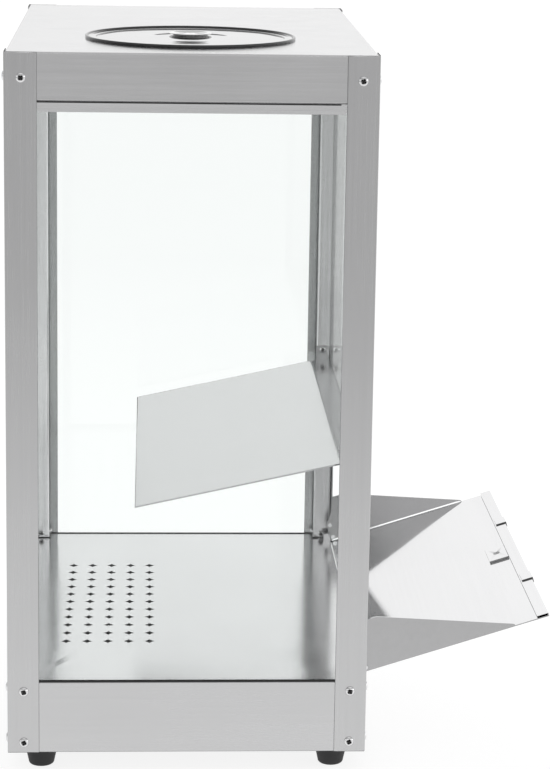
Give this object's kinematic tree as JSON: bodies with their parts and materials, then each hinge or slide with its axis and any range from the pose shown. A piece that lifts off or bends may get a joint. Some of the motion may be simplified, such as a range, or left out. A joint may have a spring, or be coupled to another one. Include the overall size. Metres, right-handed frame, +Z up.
{
  "type": "chip warmer",
  "caption": "Glazed steel cabinet that keeps fried chips warm, with a lidded fill hole in its top, a sloping deflector and a tilt-out chute door with side wings at its foot.",
  "frame": {"origin": "centre of the case's footprint, at the level of the feet's undersides", "axes": "+Z up, -Y towards the chute door at the front, +X to the right of someone who faces the front"},
  "size_m": [0.5048, 0.5089, 0.6726],
  "materials": {
    "post_steel": "brushed upright",
    "panel_steel": "brushed level",
    "bin_steel": "fine brushed",
    "door_steel": "bright",
    "lid_steel": "spun",
    "channel_steel": "satin",
    "fastener_steel": "bright zinc",
    "pane_glass": "clear",
    "foot_rubber": "matt",
    "seal_rubber": "matt",
    "black_plastic": "matt",
    "pale_plastic": "matt",
    "heater_sheath": "heat-darkened",
    "pin_brass": "plated"
  },
  "bodies": {
    "base": {"post_front_left": "post_steel", "post_front_right": "post_steel", "post_rear_left": "post_steel", "post_rear_right": "post_steel", "column_front_left": "post_steel", "column_front_right": "post_steel", "column_rear_left": "post_steel", "column_rear_right": "post_steel", "top_cover": "panel_steel", "base_panel_left": "panel_steel", "base_panel_right": "panel_steel", "base_panel_front": "panel_steel", "base_panel_rear": "panel_steel", "base_plate": "panel_steel", "floor_plate": "bin_steel", "glass_left": "pane_glass", "glass_right": "pane_glass", "glass_front": "pane_glass", "glass_rear": "pane_glass", "glass_channel_left": "channel_steel", "glass_channel_right": "channel_steel", "glass_channel_front": "channel_steel", "glass_channel_rear": "channel_steel", "glass_seals": "seal_rubber", "deflector": "bin_steel", "deflector_screws": "fastener_steel", "magnetic_catch": "black_plastic", "catch_screws": "fastener_steel", "hinge_pins": "fastener_steel", "foot_front_left": "foot_rubber", "foot_front_right": "foot_rubber", "foot_rear_left": "foot_rubber", "foot_rear_right": "foot_rubber", "foot_screws": "fastener_steel", "screws_left": "fastener_steel", "screws_right": "fastener_steel", "screws_front": "fastener_steel", "screws_rear": "fastener_steel", "case_nuts": "fastener_steel", "column_screws": "fastener_steel", "fan_frame": "black_plastic", "fan_screws": "fastener_steel", "heater_element": "heater_sheath", "heater_brackets": "fastener_steel", "thermostat": "black_plastic", "terminal_block": "pale_plastic", "switch_bezel": "black_plastic", "power_inlet": "black_plastic", "inlet_pins": "pin_brass", "inlet_screws": "fastener_steel"},
    "door": {"door": "door_steel", "door_pull": "door_steel", "strike_plate": "fastener_steel", "strike_screw": "fastener_steel", "door_stop_pins": "fastener_steel"},
    "lid": {"lid": "lid_steel", "lid_knob": "lid_steel", "lid_knob_screw": "fastener_steel"},
    "rocker": {"switch_rocker": "black_plastic"},
    "rotor": {"fan_rotor": "black_plastic"}
  },
  "joints": [
    {"name": "door_hinge", "type": "hinge", "parent": "base", "child": "door", "pos_m": [0, -0.16603, 0.09088], "axis": [-1, 0, 0], "range_deg": [0, 72.4]},
    {"name": "lid_lift", "type": "slide", "parent": "base", "child": "lid", "axis": [0, 0, 1], "range_m": [0, 0.08]},
    {"name": "switch_rock", "type": "hinge", "parent": "base", "child": "rocker", "pos_m": [-0.15, 0.1593, 0.0545], "axis": [1, 0, 0], "range_deg": [0, 18]},
    {"name": "fan_spin", "type": "hinge", "parent": "base", "child": "rotor", "pos_m": [0, 0.075, 0.04], "axis": [0, 0, 1], "continuous": true}
  ]
}
